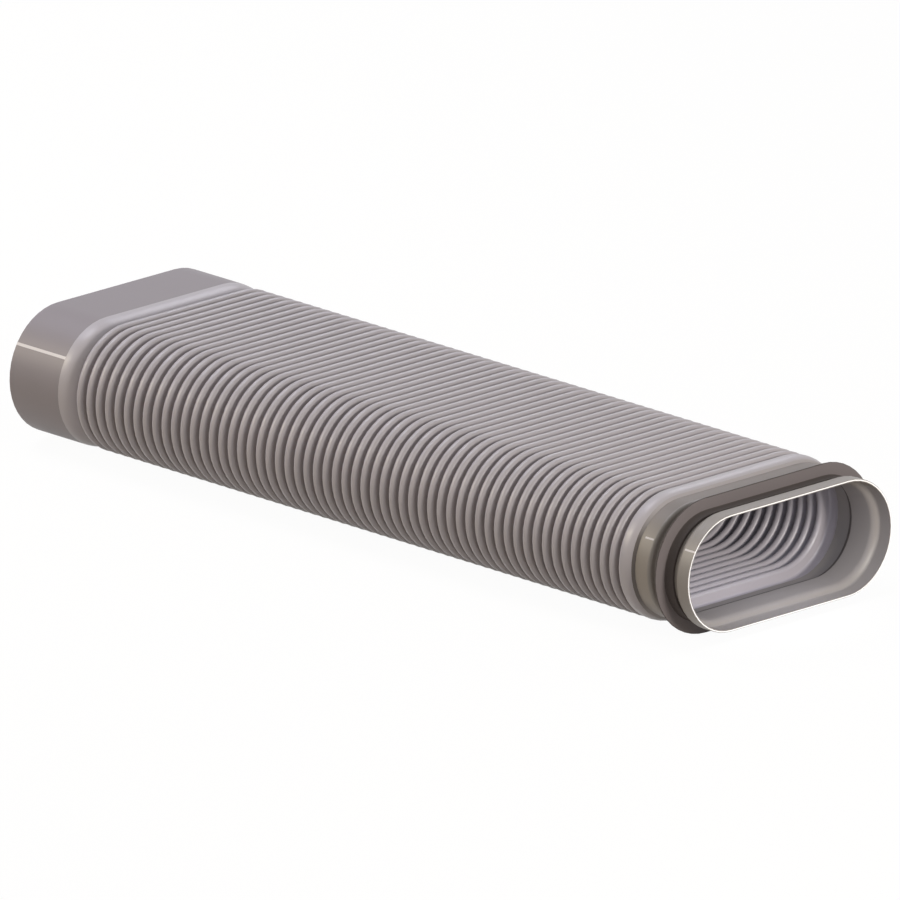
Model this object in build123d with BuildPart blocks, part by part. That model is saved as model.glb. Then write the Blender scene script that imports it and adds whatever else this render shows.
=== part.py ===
from build123d import *
from math import atan2, copysign, cos, sin, sqrt
import os

# Flexible flat-oval ventilation duct: a blow-moulded bellows with a plain socket at one end and
# a spigot with a lip seal at the other. Millimetres, +Z up. The duct lies along X with the spigot
# at +X. Every cross-section is a flat-oval: one flat run between two half-round ends, so each
# surface is named by its radius, measured from the duct's axis.

# Overall
length = 750.0            # spigot rim to socket rim
flat_run = 126.5          # straight part of every cross-section

# Spigot, measured along the axis from its rim
lip_radius = 47.1         # outside of the plain mouth
lip_length = 10.5
groove_radius = 42.2      # outside of the groove that holds the seal
groove_start = 18.6
groove_end = 37.5
neck_start = 44.3         # where the plain neck behind the groove begins
neck_step = 4.2           # how far the neck lies below the waves
shoulder_roll = 11.0      # radius of the near shoulder, which meets the neck in a sharp corner
shoulder_brow = 65.8      # where the near shoulder is as high as the waves
shoulder_end = 69.4       # last level point of the near shoulder, before the first root
collar_wall = 1.8         # wall of the spigot and of the socket
lead_in = 0.4             # small chamfer on both rims

# Bellows
crest_radius = 51.9       # outside of the waves
wave_depth = 10.2         # crest to root, on the outside
wave_count = 57
crest_flat = 2.0          # width of a wave's top
bellows_wall = 1.25       # measured across the radius

# Socket
socket_radius = 52.1      # outside
socket_length = 54.8
far_shoulder = 17.1       # from the last root to the socket

# Lip seal in the spigot's groove
seal_front = 28.0         # front face of the lip, from the spigot rim
seal_radius = 54.3        # outside of the lip
seal_lip = 1.5            # thickness of the lip
seal_foot_length = 17.0   # the foot fills the groove's floor
seal_foot_height = 2.0
seal_clearance = 0.1      # between the foot and the groove

# Worked out from the sizes above
axis_height = seal_radius             # the seal is the lowest part of the duct
socket_start = length - socket_length
last_root = socket_start - far_shoulder
wave_pitch = (last_root - shoulder_end) / (wave_count + 0.5)
half_pitch = wave_pitch / 2
first_root = shoulder_end + half_pitch
root_radius = crest_radius - wave_depth
neck_radius = crest_radius - neck_step
crest_inside = crest_radius - bellows_wall
root_inside = root_radius - bellows_wall
half_run = flat_run / 2
lip_inside = lip_radius - collar_wall
groove_inside = groove_radius - collar_wall
neck_inside = neck_radius - collar_wall
shoulder_inside = crest_radius - collar_wall
socket_inside = socket_radius - collar_wall
foot_start = (groove_start + groove_end - seal_foot_length) / 2
foot_end = foot_start + seal_foot_length
foot_radius = groove_radius + seal_clearance
foot_top = foot_radius + seal_foot_height
towards_spigot = (1, 0)


def at(from_rim, radius):
    """A point of the wall's section, from its distance to the spigot rim and its radius."""
    return (length / 2 - from_rim, axis_height + radius)


def bend(top, foot, wall):
    """Two even arcs from one level stretch down to another, at a depth below the outside."""
    run, drop = foot[0] - top[0], top[1] - foot[1]
    slope, way = 2 * atan2(drop, abs(run)), copysign(1, run)
    meeting = at(
        top[0] + run / 2 - way * wall * sin(slope),
        top[1] - drop / 2 - wall * cos(slope),
    )
    TangentArc(at(top[0], top[1] - wall), meeting, tangent=(-way, 0))
    TangentArc(at(foot[0], foot[1] - wall), meeting, tangent=(way, 0))


def neck_end(wall):
    """Where the neck meets the near shoulder, outside or a wall's depth inside."""
    roll = shoulder_roll - wall
    return shoulder_brow - sqrt(neck_step * (2 * roll - neck_step))


def spigot_bends(wall):
    """Bends of the mouth, the groove and the near shoulder, outside or a wall's depth inside."""
    bend((lip_length, lip_radius), (groove_start, groove_radius), wall)
    bend((neck_start, neck_radius), (groove_end, groove_radius), wall)
    TangentArc(
        at(shoulder_brow, crest_radius - wall),
        at(neck_end(wall), neck_radius - wall),
        tangent=towards_spigot,
    )


# Outside and inside of the waves, from the first root to the last
outer_waves = [at(first_root, root_radius)]
inner_waves = [at(first_root, root_inside)]
for wave in range(wave_count):
    crest = first_root + half_pitch + wave * wave_pitch
    outer_waves.append(at(crest - crest_flat / 2, crest_radius))
    outer_waves.append(at(crest + crest_flat / 2, crest_radius))
    outer_waves.append(at(crest + half_pitch, root_radius))
    inner_waves.append(at(crest, crest_inside))
    inner_waves.append(at(crest + half_pitch, root_inside))

section_plane = Plane.XZ.offset(-half_run)
round_axis = Axis((0, half_run, axis_height), (-1, 0, 0))

# Duct body: one moulded wall, swept over the flat run and around the two round ends
with BuildPart() as duct_body:
    with BuildSketch(section_plane) as wall_section:
        with BuildLine():
            # outside, from the groove over the neck to the waves and the socket
            spigot_bends(0)
            Line(at(groove_start, groove_radius), at(groove_end, groove_radius))
            Line(at(neck_start, neck_radius), at(neck_end(0), neck_radius))
            Polyline(
                at(shoulder_brow, crest_radius),
                at(shoulder_end + crest_flat / 2, crest_radius),
                *outer_waves,
            )
            TangentArc(
                at(socket_start, socket_radius),
                at(last_root, root_radius),
                tangent=towards_spigot,
            )
            # socket rim
            Polyline(
                at(socket_start, socket_radius),
                at(length, socket_radius),
                at(length, socket_inside + lead_in),
                at(length - lead_in, socket_inside),
                at(socket_start, socket_inside),
            )
            # inside, back to the groove
            TangentArc(
                at(socket_start, socket_inside),
                at(last_root, root_inside),
                tangent=towards_spigot,
            )
            Polyline(*inner_waves)
            Polyline(
                at(first_root, root_inside),
                at(shoulder_end, shoulder_inside),
                at(shoulder_brow, shoulder_inside),
            )
            spigot_bends(collar_wall)
            Line(at(neck_end(collar_wall), neck_inside), at(neck_start, neck_inside))
            Line(at(groove_end, groove_inside), at(groove_start, groove_inside))
            # mouth rim
            Polyline(
                at(lip_length, lip_inside),
                at(0, lip_inside),
                at(0, lip_radius - lead_in),
                at(lead_in, lip_radius),
                at(lip_length, lip_radius),
            )
        make_face()
    extrude(wall_section.sketch, amount=flat_run)
    mirror(about=Plane.XY.offset(axis_height))
    revolve(wall_section.sketch, axis=round_axis, revolution_arc=180)
    mirror(about=Plane.XZ)
duct_body.part.label = "duct_body"

# Sealing ring: a thin lip standing on a foot that lies in the groove
with BuildPart() as sealing_ring:
    with BuildSketch(section_plane) as seal_section:
        with BuildLine():
            Polyline(
                at(foot_start, foot_radius),
                at(foot_start, foot_top),
                at(seal_front, foot_top),
                at(seal_front, seal_radius),
                at(seal_front + seal_lip, seal_radius),
                at(seal_front + seal_lip, foot_top),
                at(foot_end, foot_top),
                at(foot_end, foot_radius),
                close=True,
            )
        make_face()
    extrude(seal_section.sketch, amount=flat_run)
    mirror(about=Plane.XY.offset(axis_height))
    revolve(seal_section.sketch, axis=round_axis, revolution_arc=180)
    mirror(about=Plane.XZ)
sealing_ring.part.label = "sealing_ring"

os.makedirs("parts", exist_ok=True)
export_step(duct_body.part, "parts/duct_body.step")
export_step(sealing_ring.part, "parts/sealing_ring.step")
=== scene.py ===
"""Flexible flat-oval duct: the visual model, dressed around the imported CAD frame."""

import logging
import math
from dataclasses import dataclass, field
from enum import Enum, IntEnum
from typing import Optional

import bpy
from mathutils import Matrix, Vector


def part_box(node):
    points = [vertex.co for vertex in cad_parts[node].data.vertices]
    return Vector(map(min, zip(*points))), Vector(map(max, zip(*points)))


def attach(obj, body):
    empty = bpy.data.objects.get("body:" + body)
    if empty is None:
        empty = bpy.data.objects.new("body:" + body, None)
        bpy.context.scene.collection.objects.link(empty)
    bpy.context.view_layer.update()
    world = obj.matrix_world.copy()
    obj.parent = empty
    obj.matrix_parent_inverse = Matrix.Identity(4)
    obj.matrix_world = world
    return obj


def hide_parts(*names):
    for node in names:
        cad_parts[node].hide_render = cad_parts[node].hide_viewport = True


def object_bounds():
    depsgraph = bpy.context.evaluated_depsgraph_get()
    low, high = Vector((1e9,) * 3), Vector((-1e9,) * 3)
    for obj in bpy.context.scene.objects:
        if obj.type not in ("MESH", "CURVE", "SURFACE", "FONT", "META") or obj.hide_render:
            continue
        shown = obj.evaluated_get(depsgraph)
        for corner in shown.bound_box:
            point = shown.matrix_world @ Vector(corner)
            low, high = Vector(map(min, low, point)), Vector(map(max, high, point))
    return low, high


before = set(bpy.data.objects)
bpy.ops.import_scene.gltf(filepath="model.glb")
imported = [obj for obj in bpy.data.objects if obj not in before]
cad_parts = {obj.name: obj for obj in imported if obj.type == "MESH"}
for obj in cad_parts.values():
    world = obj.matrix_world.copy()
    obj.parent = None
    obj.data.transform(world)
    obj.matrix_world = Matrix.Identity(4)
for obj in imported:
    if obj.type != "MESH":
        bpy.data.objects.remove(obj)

CAD_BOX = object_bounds()
LOG = logging.getLogger("flat_duct")
MM = 0.001
AXIS_HEIGHT = (CAD_BOX[0][2] + CAD_BOX[1][2]) / 2
BODY = "root"
WHITE = (1.0, 1.0, 1.0, 1.0)
MERGE_GAP = 0.01 * MM  # points closer than this become one
SMOOTH_BELOW = 40.0  # edges flatter than this many degrees are shaded smooth
END_FACING = 0.9  # share of the normal along the duct that makes a face an end face
END_REACH = 0.1 * MM  # how far from an end of the duct an end face may lie

# Edges in each rounding of the profiles
BEND_STEPS = 6
ROLL_STEPS = 10
ROOT_STEPS = 3
CREST_STEPS = 8
INNER_CREST_STEPS = 5
HALF_CREST_STEPS = 4
INNER_HALF_CREST_STEPS = 3
CORNER_STEPS = 3

Rgb = tuple[float, float, float]
Rgba = tuple[float, float, float, float]


class Slot(Enum):
    """Material slots of the duct and the seal."""

    DUCT = "duct_plastic"
    SEAL = "seal_rubber"


class Zone(IntEnum):
    """Finishes of the duct, in the order of its material list."""

    SPIGOT = 0
    BELLOWS = 1
    SOCKET = 2
    NECK = 3
    SEAM = 4
    BEND = 5
    RIM = 6
    MARK = 7


class SealZone(IntEnum):
    """Finishes of the seal, in the order of its material list."""

    RUBBER = 0
    SHADE = 1


def srgb(red: int, green: int, blue: int) -> Rgba:
    """Turn an 8-bit display colour into a linear one.

    Args:
        red: Red, 0 to 255.
        green: Green, 0 to 255.
        blue: Blue, 0 to 255.

    Returns:
        The linear colour with full alpha.
    """
    def linear(value: int) -> float:
        """Undo the display curve for one channel."""
        share = value / 255
        return share / 12.92 if share <= 0.04045 else ((share + 0.055) / 1.055) ** 2.4

    return linear(red), linear(green), linear(blue), 1.0


# Finishes


@dataclass(frozen=True)
class Finish:
    """A surface finish: a colour that drifts a little, with a fine moulded grain.

    Attributes:
        name: Name of the material.
        colour: Mean colour, linear.
        drift: Share by which the colour drifts either way over the piece.
        drift_scale: Patches of colour per metre.
        drift_detail: Octaves of the patches' noise.
        grain_scale: Grains per metre.
        grain_detail: Octaves of the grain's noise.
        grain_depth: Height of the grain, in metres.
        roughness: Mean roughness.
        roughness_drift: Change of roughness over the piece, either way.
        specular: Specular level of the shader.
    """

    name: str
    colour: Rgba
    drift: float = 0.05
    drift_scale: float = 14.0
    drift_detail: float = 4.0
    grain_scale: float = 2600.0
    grain_detail: float = 2.0
    grain_depth: float = 0.02 * MM
    roughness: float = 0.5
    roughness_drift: float = 0.06
    specular: float = 0.5

    def material(self) -> bpy.types.Material:
        """Build the node material.

        Returns:
            The finished material.
        """
        made = bpy.data.materials.new(self.name)
        made.use_nodes = True
        nodes, links = made.node_tree.nodes, made.node_tree.links
        shader = nodes["Principled BSDF"]
        shader.inputs["Specular IOR Level"].default_value = self.specular
        place = nodes.new("ShaderNodeTexCoord")

        patches = nodes.new("ShaderNodeTexNoise")
        patches.inputs["Scale"].default_value = self.drift_scale
        patches.inputs["Detail"].default_value = self.drift_detail
        links.new(place.outputs["Object"], patches.inputs["Vector"])

        tint = nodes.new("ShaderNodeMix")
        tint.data_type = "RGBA"
        tint.inputs["A"].default_value = self.shade(1 - self.drift)
        tint.inputs["B"].default_value = self.shade(1 + self.drift)
        links.new(patches.outputs["Fac"], tint.inputs["Factor"])
        links.new(tint.outputs["Result"], shader.inputs["Base Color"])

        gloss = nodes.new("ShaderNodeMapRange")
        gloss.inputs["To Min"].default_value = self.roughness - self.roughness_drift
        gloss.inputs["To Max"].default_value = self.roughness + self.roughness_drift
        links.new(patches.outputs["Fac"], gloss.inputs["Value"])
        links.new(gloss.outputs["Result"], shader.inputs["Roughness"])

        grain = nodes.new("ShaderNodeTexNoise")
        grain.inputs["Scale"].default_value = self.grain_scale
        grain.inputs["Detail"].default_value = self.grain_detail
        links.new(place.outputs["Object"], grain.inputs["Vector"])
        bump = nodes.new("ShaderNodeBump")
        bump.inputs["Distance"].default_value = self.grain_depth
        bump.inputs["Strength"].default_value = 1.0
        links.new(grain.outputs["Fac"], bump.inputs["Height"])
        links.new(bump.outputs["Normal"], shader.inputs["Normal"])
        return made

    def shade(self, share: float) -> Rgba:
        """Scale the mean colour, keeping its alpha."""
        red, green, blue, alpha = self.colour
        return red * share, green * share, blue * share, alpha


@dataclass(frozen=True)
class CrownFinish(Finish):
    """A finish that turns into another colour towards the crown and the sole of the duct.

    Attributes:
        crown: Colour at the crown and the sole, linear.
        fade_start: Height above or below the duct's axis where the change begins, in metres.
        fade_end: Height where the change is complete.
    """

    crown: Rgba = WHITE
    fade_start: float = 24.0 * MM
    fade_end: float = 44.0 * MM

    def material(self) -> bpy.types.Material:
        """Build the node material and let its colour follow the height.

        Returns:
            The finished material.
        """
        made = super().material()
        nodes, links = made.node_tree.nodes, made.node_tree.links
        colour = nodes["Principled BSDF"].inputs["Base Color"]
        side = colour.links[0].from_socket
        place = nodes.new("ShaderNodeTexCoord")
        split = nodes.new("ShaderNodeSeparateXYZ")
        links.new(place.outputs["Object"], split.inputs["Vector"])
        offset = nodes.new("ShaderNodeMath")
        offset.operation = "SUBTRACT"
        offset.inputs[1].default_value = AXIS_HEIGHT
        links.new(split.outputs["Z"], offset.inputs[0])
        height = nodes.new("ShaderNodeMath")
        height.operation = "ABSOLUTE"
        links.new(offset.outputs["Value"], height.inputs[0])
        fade = nodes.new("ShaderNodeMapRange")
        fade.inputs["From Min"].default_value = self.fade_start
        fade.inputs["From Max"].default_value = self.fade_end
        links.new(height.outputs["Value"], fade.inputs["Value"])
        blend = nodes.new("ShaderNodeMix")
        blend.data_type = "RGBA"
        blend.inputs["B"].default_value = self.crown
        links.new(fade.outputs["Result"], blend.inputs["Factor"])
        links.new(side, blend.inputs["A"])
        links.new(blend.outputs["Result"], colour)
        return made


# One plastic throughout: the warm grey spigot, paler bellows and mauve grey socket are tinted
# copies of it, painted light standing in for how light falls on each part.
SPIGOT_LIT_PLASTIC = Finish("warm_lit_grey_spigot", srgb(131, 124, 117), roughness=0.46)
BELLOWS_LIT_PLASTIC = Finish("pale_lit_grey_bellows", srgb(162, 155, 156), roughness=0.38)
SOCKET_LIT_PLASTIC = Finish("mauve_lit_grey_socket", srgb(126, 118, 119), roughness=0.48)
# Painted shade: the neck's outside is a browner copy of the collar plastic that darkens towards
# the crown and the sole.
NECK_PAINTED_SHADE = CrownFinish(
    "brown_grey_neck_painted_shade", srgb(138, 129, 119), roughness=0.5, crown=srgb(112, 103, 96)
)
# Painted shade in the concave corner where the bellows meet the neck: dark at the sides, fading
# to pale grey towards the crown and the sole.
CORNER_SHADE = CrownFinish(
    "painted_corner_shade", srgb(84, 76, 70), roughness=0.5, crown=srgb(154, 147, 145)
)
BEND_SHADE = Finish("dark_inner_bend", srgb(76, 69, 64), roughness=0.6, specular=0.3)
# Pale end faces of both rims.
PALE_RIM_FACE = Finish("pale_rim_face", srgb(252, 251, 250), drift=0.02, roughness=0.6)
# Painted highlight: thin pale lines along the upper -Y side of the plain collars.
HIGHLIGHT_LINE_PAINT = Finish("painted_highlight_line", srgb(206, 199, 195), drift=0.03, roughness=0.55)
SEAL_RUBBER = Finish("grey_seal_rubber", srgb(105, 97, 96), roughness=0.6, specular=0.35)
# Painted shade on the seal's foot in the groove and along the lip's rounded tip.
SEAL_SHADE = Finish("painted_shade_seal_rubber", srgb(76, 69, 66), roughness=0.7, specular=0.25)


# Drawing and sweeping a flat-oval wall


@dataclass(frozen=True)
class FlatOval:
    """The flat-oval that every cross-section of the duct follows.

    Attributes:
        flat_run: Straight part of the section, in metres.
        axis_height: Height of the duct's axis above the floor.
        mark_angle: Where the painted highlight line sits, in degrees above the level on the -Y
            end.
        mark_width: Width of the socket's mark, in degrees.
        thin_mark_width: Width of the spigot's marks, in degrees.
        steps: Faces around each half-round end.
    """

    flat_run: float
    axis_height: float
    mark_angle: float = 32.4
    mark_width: float = 2.6
    thin_mark_width: float = 1.8
    steps: int = 22

    @property
    def half_run(self) -> float:
        """Half of the straight part."""
        return self.flat_run / 2

    def sweep(self) -> None:
        """Carry the profile being edited once around the flat-oval and close it."""
        bpy.ops.mesh.select_all(action="SELECT")
        self._turn(self.half_run, 180.0, self.steps)
        self._run(-self.flat_run)
        before = 90.0 + self.mark_angle - self.mark_width / 2
        after = 90.0 - self.mark_angle - self.mark_width / 2
        share = before / (before + after)
        self._turn(-self.half_run, before, round(self.steps * share))
        beside = (self.mark_width - self.thin_mark_width) / 2
        for strip in (beside, self.thin_mark_width, beside):
            self._turn(-self.half_run, strip, 1)
        self._turn(-self.half_run, after, round(self.steps * (1 - share)))
        self._run(self.flat_run)
        bpy.ops.mesh.select_all(action="SELECT")
        bpy.ops.mesh.remove_doubles(threshold=MERGE_GAP)
        bpy.ops.mesh.normals_make_consistent(inside=False)

    def _turn(self, centre_y: float, degrees: float, steps: int) -> None:
        """Spin the profile around one round end.

        Args:
            centre_y: Where the end's axis lies across the duct.
            degrees: How far to turn.
            steps: Number of faces to make.
        """
        bpy.ops.mesh.spin(
            steps=steps,
            angle=math.radians(degrees),
            center=(0.0, centre_y, self.axis_height),
            axis=(1.0, 0.0, 0.0),
        )

    def _run(self, distance: float) -> None:
        """Draw the profile straight across a flat side."""
        bpy.ops.mesh.extrude_region_move(
            TRANSFORM_OT_translate={"value": (0.0, distance, 0.0)}
        )

    def reach(self, centre: Vector) -> float:
        """Distance of a point from the oval's straight middle line."""
        return math.hypot(max(abs(centre.y) - self.half_run, 0.0), centre.z - self.axis_height)

    def marked(self, centre: Vector, width: float) -> bool:
        """Tell whether a face lies in the strip of a painted highlight line.

        Args:
            centre: The face's centre.
            width: Width of the strip, in degrees.

        Returns:
            True inside the strip.
        """
        across = -(centre.y + self.half_run)
        if across <= 0:
            return False
        angle = math.degrees(math.atan2(centre.z - self.axis_height, across))
        return abs(angle - self.mark_angle) < width / 2


@dataclass
class Pen:
    """Draws a profile as a chain of edges in the upright plane of the +Y round axis.

    Points are given as (distance from the spigot rim, radius from the duct's axis).

    Attributes:
        oval: The flat-oval that the profile will be swept along.
        rim_x: Where the spigot rim lies along X.
        depth: How far below the given radius lines and bends are drawn, for the inside of a wall.
        point: Where the pen is.
        heading: The way it is going, of length 1.
    """

    oval: FlatOval
    rim_x: float
    depth: float = 0.0
    point: Vector = field(default_factory=lambda: Vector((0.0, 0.0)))
    heading: Vector = field(default_factory=lambda: Vector((1.0, 0.0)))

    def start(self, name: str, along: float, radius: float, heading: tuple[float, float]) -> None:
        """Put the pen down on a new object and stay in edit mode.

        Args:
            name: Name of the object.
            along: Distance from the spigot rim.
            radius: Radius from the axis.
            heading: The way that the pen sets off.
        """
        bpy.ops.object.select_all(action="DESELECT")
        bpy.ops.mesh.primitive_plane_add(size=MM)
        bpy.context.object.name = name
        bpy.ops.object.mode_set(mode="EDIT")
        bpy.ops.mesh.select_mode(type="VERT")
        bpy.ops.mesh.merge(type="CENTER")
        self.point = Vector((along, radius))
        self.heading = Vector(heading).normalized()
        bpy.ops.transform.translate(value=self._place(self.point))

    def line(self, along: float, radius: float) -> None:
        """Draw a straight edge.

        Args:
            along: Distance of its end from the spigot rim.
            radius: Radius of its end.
        """
        end = Vector((along, radius - self.depth))
        step = self._place(end) - self._place(self.point)
        bpy.ops.mesh.extrude_vertices_move(TRANSFORM_OT_translate={"value": step})
        self.heading = (end - self.point).normalized()
        self.point = end

    def arc(self, along: float, radius: float, steps: int) -> None:
        """Draw an arc that sets off the way the pen is going.

        Args:
            along: Distance of its end from the spigot rim.
            radius: Radius of its end.
            steps: Number of edges.
        """
        end = Vector((along, radius))
        chord = end - self.point
        side = Vector((-self.heading.y, self.heading.x))
        reach = chord.length_squared / (2 * chord.dot(side))
        centre = self.point + side * reach
        turn = 2 * math.atan2(chord.dot(side), chord.dot(self.heading))
        bpy.ops.mesh.spin(
            steps=steps, angle=turn, center=self._place(centre), axis=(0.0, -1.0, 0.0)
        )
        self.heading = Matrix.Rotation(turn, 2) @ self.heading
        self.point = end

    def bend(self, along: float, radius: float) -> None:
        """Draw two even arcs from this level stretch to another.

        Args:
            along: Distance of the next stretch from the spigot rim.
            radius: Its radius, before the pen's depth.
        """
        begin = self.point + Vector((0.0, self.depth))
        run, rise = along - begin.x, radius - begin.y
        slope, way = 2 * math.atan2(rise, abs(run)), math.copysign(1.0, run)
        self.heading = Vector((way, 0.0))
        self.arc(
            begin.x + run / 2 + way * self.depth * math.sin(slope),
            begin.y + rise / 2 - self.depth * math.cos(slope),
            BEND_STEPS,
        )
        self.arc(along, radius - self.depth, BEND_STEPS)

    def lift(self) -> bpy.types.Object:
        """Leave edit mode and give back the drawn object."""
        bpy.ops.object.mode_set(mode="OBJECT")
        return bpy.context.object

    def _place(self, point: Vector) -> Vector:
        """Turn a point of the profile into one of the frame."""
        return Vector(
            (self.rim_x - point.x, self.oval.half_run, self.oval.axis_height + point.y)
        )


def pick(pieces: list[bpy.types.Object]) -> None:
    """Select these objects alone and make the first one active.

    Args:
        pieces: The objects to select.
    """
    bpy.ops.object.select_all(action="DESELECT")
    for piece in pieces:
        piece.select_set(True)
    bpy.context.view_layer.objects.active = pieces[0]


def join(pieces: list[bpy.types.Object]) -> bpy.types.Object:
    """Join objects into the first and merge what meets.

    Args:
        pieces: The objects, the first of which stays.

    Returns:
        The joined object.
    """
    pick(pieces)
    bpy.ops.object.join()
    bpy.ops.object.mode_set(mode="EDIT")
    bpy.ops.mesh.select_all(action="SELECT")
    bpy.ops.mesh.remove_doubles(threshold=MERGE_GAP)
    bpy.ops.object.mode_set(mode="OBJECT")
    return bpy.context.object


def settle(piece: bpy.types.Object) -> None:
    """Put the piece's place into its mesh and shade its curves smooth.

    Args:
        piece: The finished object.
    """
    pick([piece])
    bpy.ops.object.transform_apply(location=True, rotation=True, scale=True)
    bpy.ops.object.shade_smooth_by_angle(angle=math.radians(SMOOTH_BELOW))


# The duct and its seal


@dataclass
class DuctBody:
    """The moulded duct: spigot, shoulders, bellows and socket in one wall.

    All sizes are in metres. Starts and ends are measured from the spigot rim, radii from the
    duct's axis to the outside of the wall.

    Attributes:
        oval: The flat-oval that the wall follows.
        rim_x: Where the spigot rim lies along X.
        length: Length of the whole duct.
        crest_radius: Top of the waves and of the near shoulder.
        wave_depth: Height of a wave, from root to crest.
        wave_count: Number of waves.
        crest_round: Rounding of a crest, outside.
        root_round: Rounding of a root, outside.
        bellows_wall: Wall of the waves.
        collar_wall: Wall of both ends.
        lip_radius: The mouth.
        lip_length: End of the mouth's level stretch.
        groove_radius: Bottom of the seal groove.
        groove_start: Start of its level stretch.
        groove_end: End of its level stretch.
        neck_radius: The neck between groove and shoulder.
        neck_start: Start of the neck.
        neck_mark_end: End of the painted highlight line on the neck.
        shaded_corner_width: Width of the painted shade in the corner between neck and shoulder.
        shoulder_roll: Rounding of the near shoulder.
        shoulder_brow: Where this rounding meets the shoulder's level top.
        shoulder_end: End of the level top.
        socket_radius: The socket.
        socket_length: Length of the socket.
        far_shoulder: Length of the shoulder between the last root and the socket.
        lead_in: Bevel of both rims.
        pale_edge: Width of the pale ring on a rim.
        piece: The finished object.
    """

    oval: FlatOval
    rim_x: float
    length: float
    crest_radius: float = 51.9 * MM
    wave_depth: float = 10.2 * MM
    wave_count: int = 57
    crest_round: float = 3.3 * MM
    root_round: float = 1.9 * MM
    bellows_wall: float = 1.2 * MM
    collar_wall: float = 1.8 * MM
    lip_radius: float = 47.1 * MM
    lip_length: float = 10.5 * MM
    groove_radius: float = 42.2 * MM
    groove_start: float = 18.6 * MM
    groove_end: float = 37.5 * MM
    neck_radius: float = 47.7 * MM
    neck_start: float = 44.3 * MM
    neck_mark_end: float = 53.4 * MM
    shaded_corner_width: float = 2.0 * MM
    shoulder_roll: float = 11.0 * MM
    shoulder_brow: float = 65.8 * MM
    shoulder_end: float = 69.4 * MM
    socket_radius: float = 52.1 * MM
    socket_length: float = 54.8 * MM
    far_shoulder: float = 17.1 * MM
    lead_in: float = 0.4 * MM
    pale_edge: float = 1.35 * MM
    piece: Optional[bpy.types.Object] = None

    @property
    def last_root(self) -> float:
        """Middle of the last groove between waves."""
        return self.length - self.socket_length - self.far_shoulder

    @property
    def wave_pitch(self) -> float:
        """Distance from one wave to the next."""
        return (self.last_root - self.shoulder_end) / (self.wave_count + 0.5)

    @property
    def first_root(self) -> float:
        """Middle of the first groove between waves."""
        return self.shoulder_end + self.wave_pitch / 2

    @property
    def root_radius(self) -> float:
        """Outside of the wall at the bottom of a groove."""
        return self.crest_radius - self.wave_depth

    @property
    def lean(self) -> float:
        """Angle between a wave's flank and the upright, from its two roundings."""
        rounds = self.crest_round + self.root_round
        rise = self.wave_depth - rounds
        apart = math.hypot(self.wave_pitch / 2, rise)
        return math.atan2(self.wave_pitch / 2, rise) - math.asin(rounds / apart)

    def neck_end(self, wall: float) -> float:
        """Find where the neck meets the near shoulder.

        Args:
            wall: Depth below the outside, 0 for the outside itself.

        Returns:
            The corner's distance from the spigot rim.
        """
        roll, drop = self.shoulder_roll - wall, self.crest_radius - self.neck_radius
        return self.shoulder_brow - math.sqrt(drop * (2 * roll - drop))

    def build(self) -> bpy.types.Object:
        """Draw the wall's profile, repeat the wave and sweep it all around.

        Returns:
            The duct.
        """
        outer = self._wave("wave_outside", 0.0, CREST_STEPS)
        inner = self._wave("wave_inside", self.bellows_wall, INNER_CREST_STEPS)
        waves = [self._repeat(outer), self._repeat(inner)]
        ends = [self._spigot(), self._socket()]
        duct = join(waves + ends)
        duct.name = "flat_duct"
        bpy.ops.object.mode_set(mode="EDIT")
        self.oval.sweep()
        bpy.ops.object.mode_set(mode="OBJECT")
        settle(duct)
        self.piece = duct
        return duct

    def dress(self) -> None:
        """Give the duct its plastic tones, the painted shade on its neck, corner and inner bend,
        its pale rims and its painted highlight lines.
        """
        duct = self.piece
        finishes = {
            Zone.SPIGOT: SPIGOT_LIT_PLASTIC,
            Zone.BELLOWS: BELLOWS_LIT_PLASTIC,
            Zone.SOCKET: SOCKET_LIT_PLASTIC,
            Zone.NECK: NECK_PAINTED_SHADE,
            Zone.SEAM: CORNER_SHADE,
            Zone.BEND: BEND_SHADE,
            Zone.RIM: PALE_RIM_FACE,
            Zone.MARK: HIGHLIGHT_LINE_PAINT,
        }
        for zone in Zone:
            duct.data.materials.append(finishes[zone].material())
        for face in duct.data.polygons:
            face.material_index = self._zone(face)
        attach(duct, BODY)
        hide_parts("duct_body")

    def _zone(self, face: bpy.types.MeshPolygon) -> Zone:
        """Tell which finish a face has.

        Args:
            face: A face of the duct.

        Returns:
            The finish's zone.
        """
        along = self.rim_x - face.center.x
        neck_end, socket_start = self.neck_end(0.0), self.length - self.socket_length
        from_end = min(along, self.length - along)
        on_rim = abs(face.normal.x) > END_FACING and from_end < END_REACH
        if on_rim and self.oval.reach(face.center) > self.lip_radius - self.pale_edge:
            return Zone.RIM
        out = face.center - Vector((face.center.x, -self.oval.half_run, self.oval.axis_height))
        outside = face.normal.dot(out) > 0
        if neck_end < along < socket_start:
            # Painted shade along the outside of that corner.
            in_shaded_corner = outside and along < neck_end + self.shaded_corner_width
            return Zone.SEAM if in_shaded_corner else Zone.BELLOWS
        on_socket = along > socket_start
        level = along < self.lip_length or self.neck_start < along < self.neck_mark_end
        width = self.oval.mark_width if on_socket else self.oval.thin_mark_width
        # Painted highlight lines on the socket and the level stretches of the spigot.
        if outside and (on_socket or level) and self.oval.marked(face.center, width):
            return Zone.MARK
        if on_socket:
            return Zone.SOCKET
        # The neck's painted shade covers its outside only; its inside keeps the spigot's plastic.
        if along > self.neck_start:
            return Zone.NECK if outside else Zone.SPIGOT
        return Zone.BEND if along > self.groove_end and not outside else Zone.SPIGOT

    def _pen(self) -> Pen:
        """A pen for this duct's profile."""
        return Pen(self.oval, self.rim_x)

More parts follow.
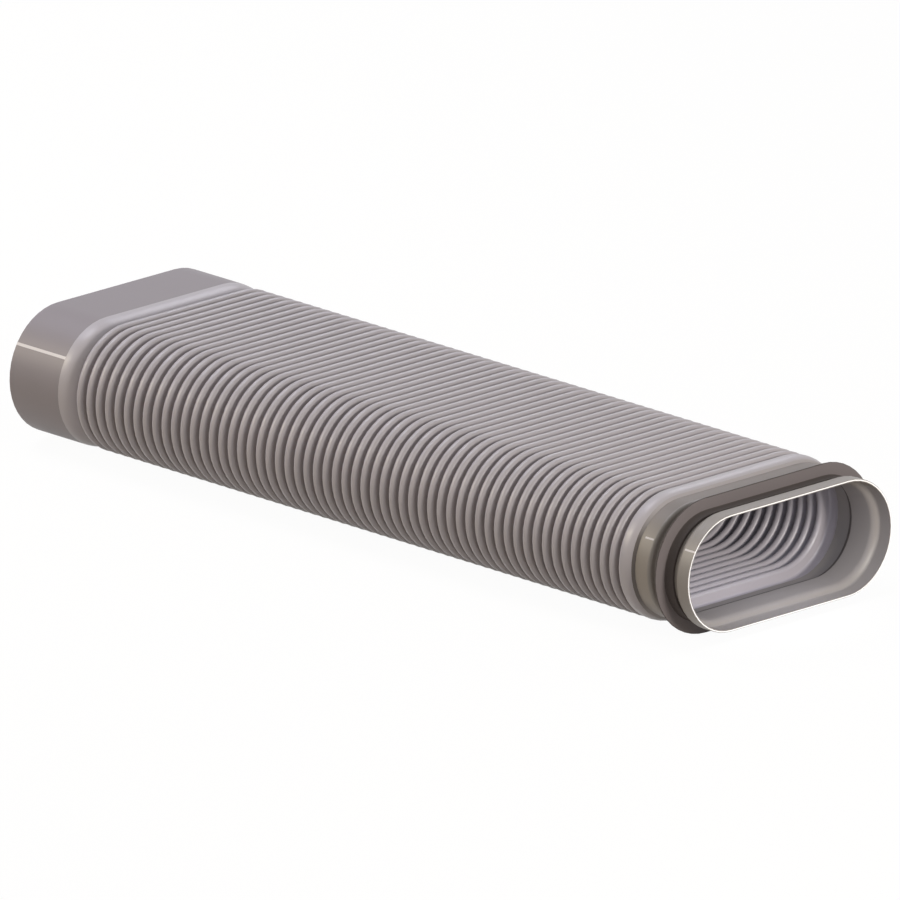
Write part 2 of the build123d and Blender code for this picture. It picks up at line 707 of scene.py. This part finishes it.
    def _wave(self, name: str, wall: float, crest_steps: int) -> bpy.types.Object:
        """Draw one wave from root to root.

        Args:
            name: Name of the object.
            wall: Depth below the outside, 0 for the outside itself.
            crest_steps: Edges over the crest.

        Returns:
            The chain of edges.
        """
        pen = self._pen()
        crest, half = self.shoulder_end + self.wave_pitch, self.wave_pitch / 2
        over, under = self.crest_round - wall, self.root_round + wall
        side, drop = math.cos(self.lean), math.sin(self.lean)
        crest_centre = self.crest_radius - self.crest_round
        root_centre = self.root_radius + self.root_round
        pen.start(name, crest - half, self.root_radius - wall, (1.0, 0.0))
        pen.arc(crest - half + under * side, root_centre - under * drop, ROOT_STEPS)
        pen.line(crest - over * side, crest_centre + over * drop)
        pen.arc(crest + over * side, crest_centre + over * drop, crest_steps)
        pen.line(crest + half - under * side, root_centre - under * drop)
        pen.arc(crest + half, self.root_radius - wall, ROOT_STEPS)
        return pen.lift()

    def _repeat(self, wave: bpy.types.Object) -> bpy.types.Object:
        """Repeat a wave along the bellows.

        Args:
            wave: The chain of edges of one wave.

        Returns:
            The chain of all waves.
        """
        pick([wave])
        row = wave.modifiers.new("row", "ARRAY")
        row.count = self.wave_count
        row.use_relative_offset = False
        row.use_constant_offset = True
        row.constant_offset_displace = (-self.wave_pitch, 0.0, 0.0)
        row.use_merge_vertices = True
        row.merge_threshold = MERGE_GAP
        bpy.ops.object.modifier_apply(modifier=row.name)
        return wave

    def _spigot(self) -> bpy.types.Object:
        """Draw the near shoulder, neck, seal groove and mouth, outside and inside.

        Returns:
            The chain of edges, from the first root's outside to its inside.
        """
        pen = self._pen()
        wall, skin = self.collar_wall, self.bellows_wall
        side, drop = math.cos(self.lean), math.sin(self.lean)
        crest_centre = self.crest_radius - self.crest_round
        root_centre = self.root_radius + self.root_round
        over, under = self.crest_round, self.root_round
        pen.start("spigot", self.first_root, self.root_radius, (-1.0, 0.0))
        pen.arc(self.first_root - under * side, root_centre - under * drop, ROOT_STEPS)
        pen.line(self.shoulder_end + over * side, crest_centre + over * drop)
        pen.arc(self.shoulder_end, self.crest_radius, HALF_CREST_STEPS)
        pen.line(self.shoulder_brow, self.crest_radius)
        pen.arc(self.neck_end(0.0), self.neck_radius, ROLL_STEPS)
        pen.line(self.neck_mark_end, self.neck_radius)
        pen.line(self.neck_start, self.neck_radius)
        pen.bend(self.groove_end, self.groove_radius)
        pen.line(self.groove_start, self.groove_radius)
        pen.bend(self.lip_length, self.lip_radius)
        pen.line(self.lead_in, self.lip_radius)
        pen.line(0.0, self.lip_radius - self.lead_in)
        pen.line(0.0, self.lip_radius - self.pale_edge)
        pen.depth = wall
        pen.line(0.0, self.lip_radius)
        pen.line(self.lip_length, self.lip_radius)
        pen.bend(self.groove_start, self.groove_radius)
        pen.line(self.groove_end, self.groove_radius)
        pen.bend(self.neck_start, self.neck_radius)
        pen.line(self.neck_end(wall), self.neck_radius)
        pen.depth = 0.0
        self._round_up(pen, self.shoulder_brow, self.crest_radius - wall)
        pen.line(self.shoulder_end, self.crest_radius - skin)
        over, under = self.crest_round - skin, self.root_round + skin
        pen.heading = Vector((1.0, 0.0))
        shoulder_corner = self.shoulder_end + over * side
        pen.arc(shoulder_corner, crest_centre + over * drop, INNER_HALF_CREST_STEPS)
        pen.line(self.first_root - under * side, root_centre - under * drop)
        pen.arc(self.first_root, self.root_radius - skin, ROOT_STEPS)
        return pen.lift()

    def _socket(self) -> bpy.types.Object:
        """Draw the far shoulder and the plain socket, outside and inside.

        Returns:
            The chain of edges, from the last root's outside to its inside.
        """
        pen = self._pen()
        wall, skin = self.collar_wall, self.bellows_wall
        begin = self.length - self.socket_length
        pen.start("socket", self.last_root, self.root_radius, (1.0, 0.0))
        self._round_up(pen, begin, self.socket_radius)
        pen.line(self.length, self.socket_radius)
        pen.line(self.length, self.socket_radius - wall + self.lead_in)
        pen.line(self.length - self.lead_in, self.socket_radius - wall)
        pen.line(begin, self.socket_radius - wall)
        pen.arc(self.last_root, self.root_radius - skin, ROLL_STEPS)
        return pen.lift()

    def _round_up(self, pen: Pen, along: float, radius: float) -> None:
        """Draw a convex arc that ends level.

        Args:
            pen: The pen, at the arc's foot.
            along: Where the arc ends.
            radius: Radius at its end.
        """
        angle = 2 * math.atan2(radius - pen.point.y, along - pen.point.x)
        pen.heading = Vector((math.cos(angle), math.sin(angle)))
        pen.arc(along, radius, ROLL_STEPS)


@dataclass
class SealingRing:
    """The lip seal: a thin lip on a foot that lies in the spigot's groove.

    All sizes are in metres. Starts and ends are measured from the spigot rim, radii from the
    duct's axis.

    Attributes:
        oval: The flat-oval that the seal follows.
        rim_x: Where the spigot rim lies along X.
        foot_start: Start of the foot.
        foot_end: End of the foot.
        outside: Radius of the lip's tip.
        front: Where the lip's front stands.
        foot_radius: Underside of the foot.
        foot_height: Height of the foot.
        lip: Thickness of the lip.
        tip_round: Rounding of its corners.
        piece: The finished object.
    """

    oval: FlatOval
    rim_x: float
    foot_start: float
    foot_end: float
    outside: float
    front: float = 28.0 * MM
    foot_radius: float = 42.3 * MM
    foot_height: float = 2.0 * MM
    lip: float = 1.5 * MM
    tip_round: float = 0.5 * MM
    piece: Optional[bpy.types.Object] = None

    def build(self) -> bpy.types.Object:
        """Draw the seal's profile and sweep it around the groove.

        Returns:
            The ring.
        """
        pen = Pen(self.oval, self.rim_x)
        round_, back = self.tip_round, self.front + self.lip
        shelf = self.foot_radius + self.foot_height
        pen.start("sealing_lip", self.foot_start, self.foot_radius, (0.0, 1.0))
        pen.line(self.foot_start, shelf - round_)
        pen.arc(self.foot_start + round_, shelf, CORNER_STEPS)
        pen.line(self.front - round_, shelf)
        pen.arc(self.front, shelf + round_, CORNER_STEPS)
        pen.line(self.front, self.outside - round_)
        pen.arc(self.front + round_, self.outside, CORNER_STEPS)
        pen.line(back - round_, self.outside)
        pen.arc(back, self.outside - round_, CORNER_STEPS)
        pen.line(back, shelf + round_)
        pen.arc(back + round_, shelf, CORNER_STEPS)
        pen.line(self.foot_end, shelf)
        pen.line(self.foot_end, self.foot_radius)
        pen.line(self.foot_start, self.foot_radius)
        self.oval.sweep()
        ring = pen.lift()
        settle(ring)
        self.piece = ring
        return ring

    def dress(self) -> None:
        """Give the seal its rubber, with painted shade on the foot and along the lip's tip."""
        ring = self.piece
        finishes = {SealZone.RUBBER: SEAL_RUBBER, SealZone.SHADE: SEAL_SHADE}
        for zone in SealZone:
            ring.data.materials.append(finishes[zone].material())
        lip_foot = self.foot_radius + self.foot_height + 2 * self.tip_round
        lip_tip = self.outside - self.tip_round
        # The foot and the lip's rounded tip get the painted shade.
        for face in ring.data.polygons:
            on_lip = lip_foot <= self.oval.reach(face.center) <= lip_tip
            face.material_index = SealZone.RUBBER if on_lip else SealZone.SHADE
        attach(ring, BODY)
        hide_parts("sealing_ring")


# Studio


class Effect(Enum):
    """What a lamp adds to a surface: all of its light, only a sheen, or only a tone."""

    ALL = "all"
    SHEEN = "sheen"
    TONE = "tone"


def add_light(name: str, power: float, colour: Rgb) -> bpy.types.Object:
    """Add an area light to the scene, at the origin and facing down.

    Args:
        name: Name of the light.
        power: Power, in watts.
        colour: Colour of the light.

    Returns:
        The light's object.
    """
    light = bpy.data.lights.new(name, "AREA")
    light.energy = power
    light.color = colour
    lamp = bpy.data.objects.new(name, light)
    bpy.context.scene.collection.objects.link(lamp)
    return lamp


@dataclass(frozen=True)
class Lamp:
    """A soft lamp that points at the middle of the object.

    Attributes:
        name: Name of the lamp.
        azimuth: Bearing of the lamp, as the camera's.
        elevation: Height angle, in degrees.
        size: Side of the lamp, in metres.
        power: Power, in watts.
        colour: Colour of the light.
        effect: What the lamp adds to a surface.
        distance: Distance from the object, in metres.
    """

    name: str
    azimuth: float
    elevation: float
    size: float
    power: float
    colour: Rgb
    effect: Effect = Effect.ALL
    distance: float = 3.0

    def place(self, target: Vector) -> None:
        """Add the lamp to the scene.

        Args:
            target: The point that it lights.
        """
        lamp = add_light(self.name, self.power, self.colour)
        lamp.data.size = self.size
        lamp.visible_diffuse = self.effect is not Effect.SHEEN
        lamp.visible_glossy = self.effect is not Effect.TONE
        away = bearing(self.azimuth, self.elevation)
        lamp.location = target + away * self.distance
        lamp.rotation_euler = away.to_track_quat("Z", "Y").to_euler()


def bearing(azimuth: float, elevation: float) -> Vector:
    """Unit vector from the object towards a bearing and a height angle.

    Args:
        azimuth: Degrees from -Y towards +X.
        elevation: Degrees above the level.

    Returns:
        The direction.
    """
    turn, rise = math.radians(azimuth), math.radians(elevation)
    return Vector(
        (math.sin(turn) * math.cos(rise), -math.cos(turn) * math.cos(rise), math.sin(rise))
    )


@dataclass(frozen=True)
class InsideStrip:
    """A weak strip of light that faces down, for a view into the duct's mouth.

    Attributes:
        name: Name of the strip.
        power: Power, in watts.
        length: Length along the duct, in metres.
        width: Width across the duct, in metres.
        behind_rim: Distance of its middle behind the spigot rim.
        above_axis: Height of the strip above the duct's axis.
        colour: Colour of the light.
    """

    name: str
    power: float
    length: float
    width: float
    behind_rim: float
    above_axis: float = 0.036
    colour: Rgb = (0.82, 0.86, 1.0)

    def place(self, rim: Vector) -> None:
        """Hang the strip, which isn't seen itself.

        Args:
            rim: Middle of the spigot rim.
        """
        strip = add_light(self.name, self.power, self.colour)
        strip.data.shape = "RECTANGLE"
        strip.data.size = self.length
        strip.data.size_y = self.width
        strip.location = rim + Vector((-self.behind_rim, 0.0, self.above_axis))
        strip.visible_camera = False
        strip.visible_glossy = False


@dataclass(frozen=True)
class Studio:
    """Floor, world, lamps and camera.

    Attributes:
        azimuth: Bearing that the photograph was taken from, in degrees from -Y towards +X.
        elevation: Its height angle, in degrees.
        pixel: Real length of one of its pixels, in metres.
        frame_pixels: Side of the photograph, in pixels.
        rim_right: How far right of its centre the middle of the spigot rim lies, in pixels.
        rim_up: How far above its centre the same point lies.
        lens: Focal length, in millimetres.
        sensor: Width of the sensor, in millimetres.
        floor_side: Side of the floor, in metres.
        paper_tone: Colour of the floor for the light that it throws back.
        paper_glow: Share of the floor's look that is plain white.
        paper_light: Brightness of this white.
        ambient: Strength of the world's light.
        lamps: The lamps around the object.
        inside: The strips that light its inside.
    """

    azimuth: float = 45.881
    elevation: float = 17.289
    pixel: float = 0.775 * MM
    frame_pixels: int = 900
    rim_right: float = 340.23
    rim_up: float = -105.85
    lens: float = 1600.0
    sensor: float = 36.0
    floor_side: float = 14.0
    paper_tone: Rgb = (0.5, 0.45, 0.39)
    paper_glow: float = 0.93
    paper_light: float = 1.035
    ambient: float = 0.42
    lamps: tuple[Lamp, ...] = (
        Lamp(
            "key_softbox", azimuth=86.0, elevation=17.0, size=0.6, power=53.0,
            colour=(1.0, 0.975, 0.94),
        ),
        Lamp(
            "left_softbox", azimuth=-46.0, elevation=25.0, size=0.7, power=22.5,
            colour=(1.0, 0.87, 0.62),
        ),
        Lamp(
            "top_softbox", azimuth=-84.0, elevation=50.0, size=1.1, power=58.0,
            colour=(0.73, 0.79, 1.0), effect=Effect.TONE,
        ),
        Lamp(
            "top_panel", azimuth=-84.0, elevation=72.0, size=0.8, power=26.0,
            colour=(0.88, 0.9, 1.0), effect=Effect.SHEEN,
        ),
        Lamp(
            "left_panel", azimuth=-34.0, elevation=33.0, size=0.7, power=25.0,
            colour=(1.0, 0.95, 0.86), effect=Effect.SHEEN,
        ),
        Lamp(
            "back_panel", azimuth=-150.0, elevation=42.0, size=0.6, power=10.0,
            colour=(0.86, 0.88, 1.0), effect=Effect.SHEEN,
        ),
    )
    inside: tuple[InsideStrip, ...] = (
        InsideStrip("deep_strip", power=0.04, length=0.5, width=0.09, behind_rim=0.265),
        InsideStrip(
            "mouth_strip", power=0.11, length=0.03, width=0.14, behind_rim=-0.006,
            colour=(0.72, 0.79, 1.0),
        ),
    )

    def build(self, rim: Vector) -> None:
        """Set up the whole studio.

        Args:
            rim: Middle of the spigot rim.
        """
        bpy.context.scene.view_settings.view_transform = "Standard"
        low, high = (Vector(corner) for corner in CAD_BOX)
        middle = (low + high) / 2
        self._floor(low.z)
        self._world()
        for lamp in self.lamps:
            lamp.place(middle)
        for strip in self.inside:
            strip.place(rim)
        self._camera(rim, middle)

    def _floor(self, height: float) -> None:
        """Lay the pale floor.

        Args:
            height: Height of its surface.
        """
        bpy.ops.object.select_all(action="DESELECT")
        bpy.ops.mesh.primitive_plane_add(size=self.floor_side, location=(0.0, 0.0, height))
        floor = bpy.context.object
        floor.name = "studio_floor"
        bpy.ops.object.transform_apply(location=True)
        paper = bpy.data.materials.new("white_paper")
        paper.use_nodes = True
        nodes, links = paper.node_tree.nodes, paper.node_tree.links
        nodes.clear()
        out = nodes.new("ShaderNodeOutputMaterial")
        plain = nodes.new("ShaderNodeBsdfDiffuse")
        plain.inputs["Color"].default_value = (*self.paper_tone, 1.0)
        glow = nodes.new("ShaderNodeEmission")
        glow.inputs["Color"].default_value = WHITE
        glow.inputs["Strength"].default_value = self.paper_light
        share = nodes.new("ShaderNodeMath")
        share.operation = "MULTIPLY"
        share.inputs[1].default_value = self.paper_glow
        mix = nodes.new("ShaderNodeMixShader")
        links.new(self._in_view(paper.node_tree), share.inputs[0])
        links.new(share.outputs["Value"], mix.inputs["Fac"])
        links.new(plain.outputs["BSDF"], mix.inputs[1])
        links.new(glow.outputs["Emission"], mix.inputs[2])
        links.new(mix.outputs["Shader"], out.inputs["Surface"])
        floor.data.materials.append(paper)

    def _world(self) -> None:
        """Give the world a white view and a plain soft light."""
        world = bpy.data.worlds.new("studio")
        bpy.context.scene.world = world
        world.use_nodes = True
        nodes, links = world.node_tree.nodes, world.node_tree.links
        back = nodes["Background"]
        back.inputs["Color"].default_value = WHITE
        level = nodes.new("ShaderNodeMapRange")
        level.inputs["To Min"].default_value = self.ambient
        level.inputs["To Max"].default_value = 1.0
        links.new(self._in_view(world.node_tree), level.inputs["Value"])
        links.new(level.outputs["Result"], back.inputs["Strength"])

    @staticmethod
    def _in_view(tree: bpy.types.NodeTree) -> bpy.types.NodeSocket:
        """Tell the rays that see a surface, straight or by a mirror, from those that light it.

        Args:
            tree: Node tree of the floor or the world.

        Returns:
            A socket that is 1 for camera, glossy and transmission rays and otherwise 0.
        """
        path = tree.nodes.new("ShaderNodeLightPath")
        seen = path.outputs["Is Camera Ray"]
        for ray in ("Is Glossy Ray", "Is Transmission Ray"):
            either = tree.nodes.new("ShaderNodeMath")
            either.operation = "MAXIMUM"
            tree.links.new(seen, either.inputs[0])
            tree.links.new(path.outputs[ray], either.inputs[1])
            seen = either.outputs["Value"]
        return seen

    def _camera(self, rim: Vector, middle: Vector) -> None:
        """Stand the camera where the photograph was taken from, far off with a long lens.

        Args:
            rim: Middle of the spigot rim.
            middle: Middle of the object, which sets the distance.
        """
        turn, rise = math.radians(self.azimuth), math.radians(self.elevation)
        away = bearing(self.azimuth, self.elevation)
        right = Vector((math.cos(turn), math.sin(turn), 0.0))
        up = Vector(
            (-math.sin(turn) * math.sin(rise), math.cos(turn) * math.sin(rise), math.cos(rise))
        )
        distance = self.frame_pixels * self.pixel * self.lens / self.sensor
        shrink = self.pixel * (1 - (rim - middle).dot(away) / distance)
        aim = rim - right * (self.rim_right * shrink) - up * (self.rim_up * shrink)
        aim += away * (middle - aim).dot(away)
        lens = bpy.data.cameras.new("photo_camera")
        lens.lens = self.lens
        lens.sensor_width = self.sensor
        lens.clip_end = 2 * distance
        camera = bpy.data.objects.new("photo_camera", lens)
        bpy.context.scene.collection.objects.link(camera)
        camera.matrix_world = Matrix.Translation(aim + away * distance) @ Matrix(
            (right, up, away)
        ).transposed().to_4x4()
        bpy.context.scene.camera = camera


def main() -> None:
    """Build the duct, its seal and the studio, and log each piece's face count."""
    logging.basicConfig(level=logging.INFO, format="%(name)s: %(message)s")
    low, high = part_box("duct_body")
    ring_low, ring_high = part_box("sealing_ring")
    size = high - low
    oval = FlatOval(flat_run=size.y - size.z, axis_height=(low.z + high.z) / 2)
    duct = DuctBody(oval, rim_x=high.x, length=size.x)
    seal = SealingRing(
        oval,
        rim_x=high.x,
        foot_start=high.x - ring_high.x,
        foot_end=high.x - ring_low.x,
        outside=(ring_high.z - ring_low.z) / 2,
    )
    for part in (duct, seal):
        piece = part.build()
        part.dress()
        LOG.info("%s has %d faces", piece.name, len(piece.data.polygons))
    Studio().build(Vector((high.x, 0.0, oval.axis_height)))


if __name__ == "__main__":
    main()
